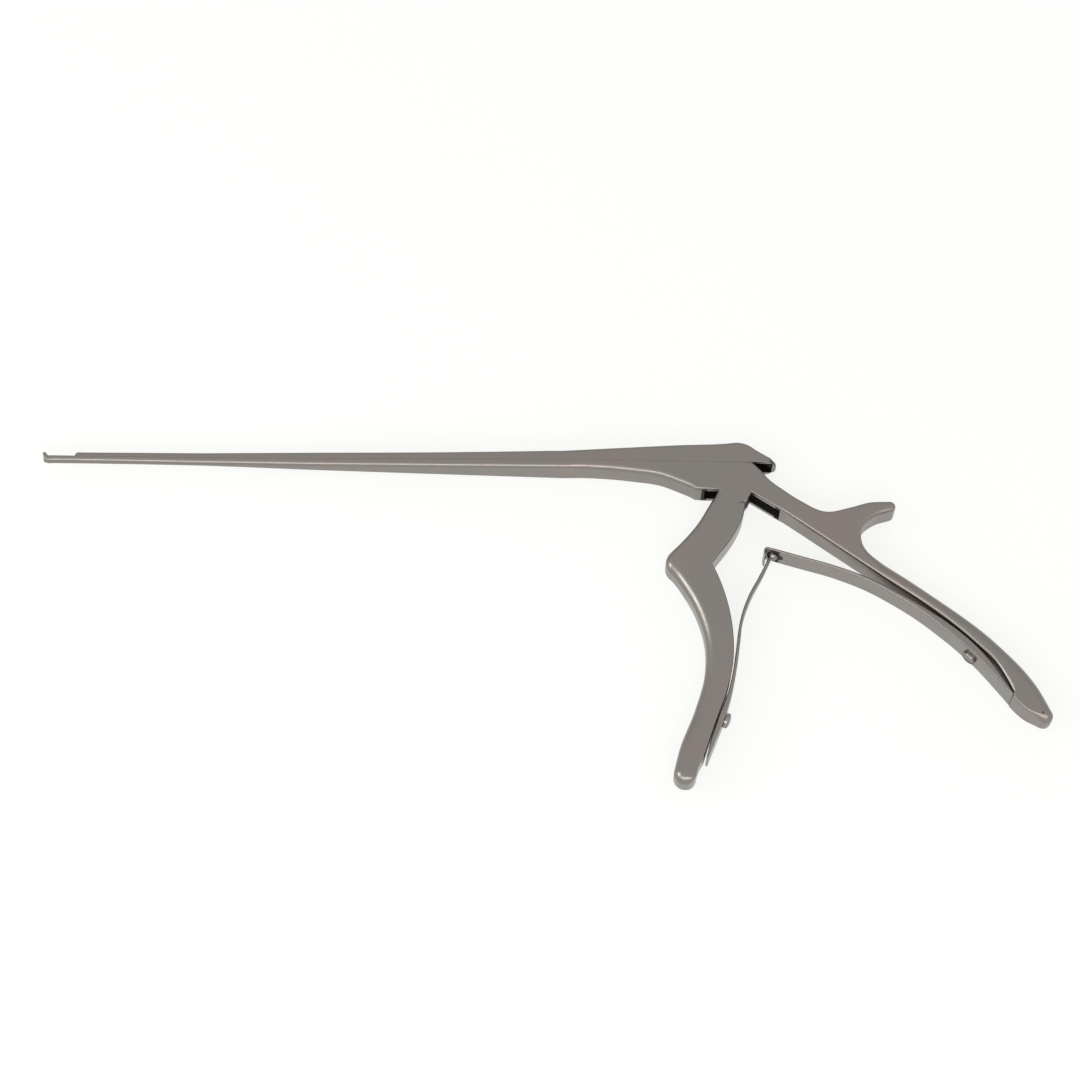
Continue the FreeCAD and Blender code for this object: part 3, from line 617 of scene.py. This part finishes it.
def band(bm, path, side, half=lambda y: LEAF_HALF):
    """Sweeps a rounded band along (x, y, thickness); the band lies to the given side of the path."""
    rings = []
    for i, (x, y, thick) in enumerate(path):
        before = path[max(i - 1, 0)]
        after = path[min(i + 1, len(path) - 1)]
        way = unit(after[0] - before[0], after[1] - before[1])
        out = (-way[1] * side, way[0] * side)
        corner = min(0.5, 0.46 * thick)
        low, high = MIDDLE - half(y), MIDDLE + half(y)
        ring = []
        for depth, z, turns in (
            (corner, low + corner, (180, 270)),
            (thick - corner, low + corner, (270, 360)),
            (thick - corner, high - corner, (0, 90)),
            (corner, high - corner, (90, 180)),
        ):
            for step in range(4):
                angle = math.radians(turns[0] + (turns[1] - turns[0]) * step / 3)
                across = depth + corner * math.cos(angle)
                height = z + corner * math.sin(angle)
                place = ((x + out[0] * across) * MM, (y + out[1] * across) * MM, height * MM)
                ring.append(bm.verts.new(place))
        rings.append(ring)
    size = len(rings[0])
    for first, second in zip(rings, rings[1:]):
        for i in range(size):
            j = (i + 1) % size
            bm.faces.new((first[i], first[j], second[j], second[i]))
    bm.faces.new(rings[0])
    bm.faces.new(rings[-1][::-1])


def smooth_path(points, spacing=0.8):
    """Smooth path through (x, y, thickness)."""
    flat = [(x, y) for x, y, _ in points]
    found = [points[0]]
    spans = list(zip(points, points[1:]))
    curve = [flat[0]] + flow_points(flat, None, None, spacing)
    index = 0
    for begin, end in spans:
        count = max(2, math.ceil(math.dist(begin[:2], end[:2]) / spacing))
        for step in range(1, count + 1):
            index += 1
            thick = begin[2] + (end[2] - begin[2]) * step / count
            found.append((*curve[index], thick))
    return found


def rod(bm, centre, radius, low, high, rim, facets=40):
    """Upright round bar with rounded rims."""
    profile = []
    for side in (-1, 1):
        for step in range(4):
            angle = math.radians(90) * (step if side < 0 else 3 - step) / 3
            end = low if side < 0 else high
            profile.append((radius - rim * (1 - math.sin(angle)), end - side * rim * (1 - math.cos(angle))))
    rings = []
    for r, z in profile:
        rings.append([
            bm.verts.new(
                ((centre[0] + r * math.cos(t)) * MM, (centre[1] + r * math.sin(t)) * MM, z * MM)
            )
            for t in (math.tau * k / facets for k in range(facets))
        ])
    for lower, upper in zip(rings, rings[1:]):
        for i in range(facets):
            j = (i + 1) % facets
            bm.faces.new((lower[i], lower[j], upper[j], upper[i]))
    bm.faces.new(rings[0][::-1])
    bm.faces.new(rings[-1])


BALL = (10.6, -18.25)
rear_path = smooth_path(
    [(8.15, -20.0, 0.4), (7.95, -18.9, 0.42), (8.1, -17.85, 0.45), (8.75, -17.4, 0.5), (9.9, -17.62, 0.6),
     (13.2, -18.5, 0.7), (18.1, -19.9, 0.7), (27.3, -22.5, 0.7), (37.6, -26.4, 0.95), (44.3, -29.9, 1.2),
     (50.5, -33.6, 1.45), (57.8, -38.5, 2.1), (62.8, -42.5, 2.35), (66.2, -45.8, 2.35), (70.0, -50.4, 2.0),
     (72.9, -54.8, 1.45), (75.9, -59.6, 0.75)]
)
shape = bmesh.new()
band(shape, rear_path, -1)

# Stand-in for the ball's seat: one loose flat face under the tip, not a dish; it gets the near-black opening
# shade as painted shade around the ball
lean = unit(13.2 - 9.9, -18.5 + 17.62)
seat_shade_ring = []
for step in range(32):
    angle = math.tau * step / 32
    along = 1.0 + 2.1 * math.cos(angle)
    across = 1.9 * math.sin(angle)
    x = 10.7 + lean[0] * along + lean[1] * 0.73
    y = -17.83 + lean[1] * along - lean[0] * 0.73
    seat_shade_ring.append(shape.verts.new((x * MM, y * MM, (MIDDLE + across) * MM)))
shape.faces.new(seat_shade_ring)


# Painted shade: the seat's flat face gets the near-black opening shade
def on_painted_seat_shade(x, y, z):
    return abs(x - 11.5) < 0.9 and abs(z - MIDDLE) < 0.2 and y < -18.2


leaf = finish_mesh(
    "rear_spring_band", shape, spring, None, ["rear_leaf_spring"], inside=on_painted_seat_shade
)
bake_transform(leaf)

front_path = smooth_path(
    [(-7.7, -79.0, 0.6), (-5.6, -73.7, 1.35), (-3.1, -67.0, 1.65), (-1.2, -60.5, 1.15), (0.2, -53.0, 0.9),
     (1.1, -46.0, 0.8), (2.0, -39.0, 0.8), (4.6, -31.2, 0.9), (7.6, -25.4, 1.0), (10.2, -19.6, 0.9)]
)


def neck_half(y):
    share = min(1.0, max(0.0, (y + 48.0) / 27.0))
    return LEAF_HALF - 3.0 * share * share * (3 - 2 * share)


shape = bmesh.new()
band(shape, front_path, 1, neck_half)
bmesh.ops.create_uvsphere(
    shape, u_segments=32, v_segments=20, radius=1.6 * MM,
    matrix=Matrix.Translation((BALL[0] * MM, BALL[1] * MM, MIDDLE * MM)),
)
leaf = finish_mesh("front_spring_band", shape, spring, None, ["front_leaf_spring"])
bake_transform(leaf)


# Pins almost flush with the flats, and the springs' screws

for name, node, body, centre, radius in (
    ("pivot_end", "pivot_pin", "frame", (0.0, 0.0), 1.75),
    ("cross_pin_end", "slide_pin", "slide", (2.7, 10.0), 1.0),
):
    shape = bmesh.new()
    rod(shape, centre, radius, -PIN_PROUD, WIDTH + PIN_PROUD, 0.06)
    finish_mesh(name, shape, forged, body, [node])


def screw_head(name, node, body, spot, out, stem):
    """Domed head with a narrow slot; out is its axis and spot the middle of its seat."""
    bm = bmesh.new()
    radius, rise, dome, facets = 2.15, 0.75, 0.75, 40
    profile = [(0.95, -stem), (0.95, -0.01), (radius - 0.1, 0.0), (radius, 0.1), (radius, rise)]
    for step in range(1, 7):
        angle = math.radians(15 * step)
        profile.append((radius * math.cos(angle), rise + dome * math.sin(angle)))
    profile[-1] = (0.12, profile[-1][1])
    rings = []
    for r, z in profile:
        rings.append([bm.verts.new((r * math.cos(t) * MM, r * math.sin(t) * MM, z * MM))
                      for t in (math.tau * k / facets for k in range(facets))])
    for lower, upper in zip(rings, rings[1:]):
        for i in range(facets):
            j = (i + 1) % facets
            bm.faces.new((lower[i], lower[j], upper[j], upper[i]))
    bm.faces.new(rings[0][::-1])
    bm.faces.new(rings[-1])
    slot = [(-3.0, -0.3), (3.0, -0.3), (3.0, 0.3), (-3.0, 0.3)]
    bm = cut(bm, [(slot, 0.85, 3.0)])
    axis = Vector((*unit(*out), 0.0))
    across = axis.cross(Vector((0.0, 0.0, 1.0)))
    placed = Matrix((across, Vector((0.0, 0.0, 1.0)), axis)).transposed().to_4x4()
    placed.translation = Vector((spot[0] * MM, spot[1] * MM, MIDDLE * MM))
    bmesh.ops.transform(bm, matrix=placed, verts=bm.verts)
    finish_mesh(name, bm, turned, body, [node])


screw_head("rear_screw", "rear_spring_screw", "frame", (64.6, -47.4), (-0.72, -0.69), 3.5)
screw_head("front_screw", "front_spring_screw", "trigger", (-3.0, -67.0), (0.93, -0.36), 3.5)


# Floor and light

FLOOR_HALF = 3.0
FLOOR_DROP = 0.0002
GLOW_SHARE = 0.85
floor_mesh = bpy.data.meshes.new("floor")
floor_mesh.from_pydata(
    [(x * FLOOR_HALF, y * FLOOR_HALF, 0) for x, y in ((-1, -1), (1, -1), (1, 1), (-1, 1))], [], [(0, 1, 2, 3)]
)
floor = bpy.data.objects.new("floor", floor_mesh)
floor.location.z = -FLOOR_DROP
scene.collection.objects.link(floor)
paper = bpy.data.materials.new("pale_floor")
tree = Tree(paper)
output = tree.add("ShaderNodeOutputMaterial")
matt = tree.add("ShaderNodeBsdfDiffuse")
matt.inputs["Color"].default_value = (0.97, 0.97, 0.96, 1.0)
glow = tree.add("ShaderNodeEmission")
glow.inputs["Color"].default_value = (0.98, 0.985, 0.97, 1.0)
ray = tree.add("ShaderNodeLightPath")
seen = tree.add("ShaderNodeMath", operation="MAXIMUM")
tree.join(ray, "Is Camera Ray", seen, 0)
tree.join(ray, "Is Glossy Ray", seen, 1)
share = tree.add("ShaderNodeMath", operation="MULTIPLY")
share.inputs[1].default_value = GLOW_SHARE
tree.join(seen, "Value", share, 0)
mix = tree.add("ShaderNodeMixShader")
tree.join(share, "Value", mix, "Fac")
tree.join(matt, "BSDF", mix, 1)
tree.join(glow, "Emission", mix, 2)
tree.join(mix, "Shader", output, "Surface")
floor.data.materials.append(paper)

world = bpy.data.worlds.new("studio")
scene.world = world
tree = Tree(world)
output = tree.add("ShaderNodeOutputWorld")
ray = tree.add("ShaderNodeLightPath")
seen = tree.add("ShaderNodeMath", operation="MAXIMUM")
tree.join(ray, "Is Camera Ray", seen, 0)
tree.join(ray, "Is Glossy Ray", seen, 1)
dim = tree.add("ShaderNodeBackground")
dim.inputs["Color"].default_value = (0.8, 0.8, 0.8, 1.0)
white = tree.add("ShaderNodeBackground")
way = tree.add("ShaderNodeSeparateXYZ")
tree.links.new(tree.add("ShaderNodeTexCoord").outputs["Generated"], way.inputs["Vector"])
backdrop = tree.ramp(
    tree.spread(way.outputs["Y"], -1.0, 1.0, 0.0, 1.0),
    [(0.0, (1, 1, 1)), (0.62, (0.98, 0.98, 0.98)), (1.0, (0.7, 0.7, 0.7))],
)
tree.links.new(backdrop, white.inputs["Color"])
mix = tree.add("ShaderNodeMixShader")
tree.join(seen, "Value", mix, "Fac")
tree.join(dim, "Background", mix, 1)
tree.join(white, "Background", mix, 2)
tree.join(mix, "Shader", output, "Surface")


def panel(name, spot, aim, width, height, power):
    lamp = bpy.data.lights.new(name, "AREA")
    lamp.shape = "RECTANGLE"
    lamp.size = width
    lamp.size_y = height
    lamp.energy = power
    obj = bpy.data.objects.new(name, lamp)
    obj.location = spot
    obj.rotation_euler = (Vector(aim) - Vector(spot)).to_track_quat("-Z", "Y").to_euler()
    scene.collection.objects.link(obj)


panel("front_light", (-0.1, -0.75, 0.72), (-0.05, -0.02, 0.0), 1.3, 0.4, 4.6)
panel("left_light", (-0.9, -0.15, 0.55), (0.0, -0.03, 0.0), 0.45, 0.6, 3.2)
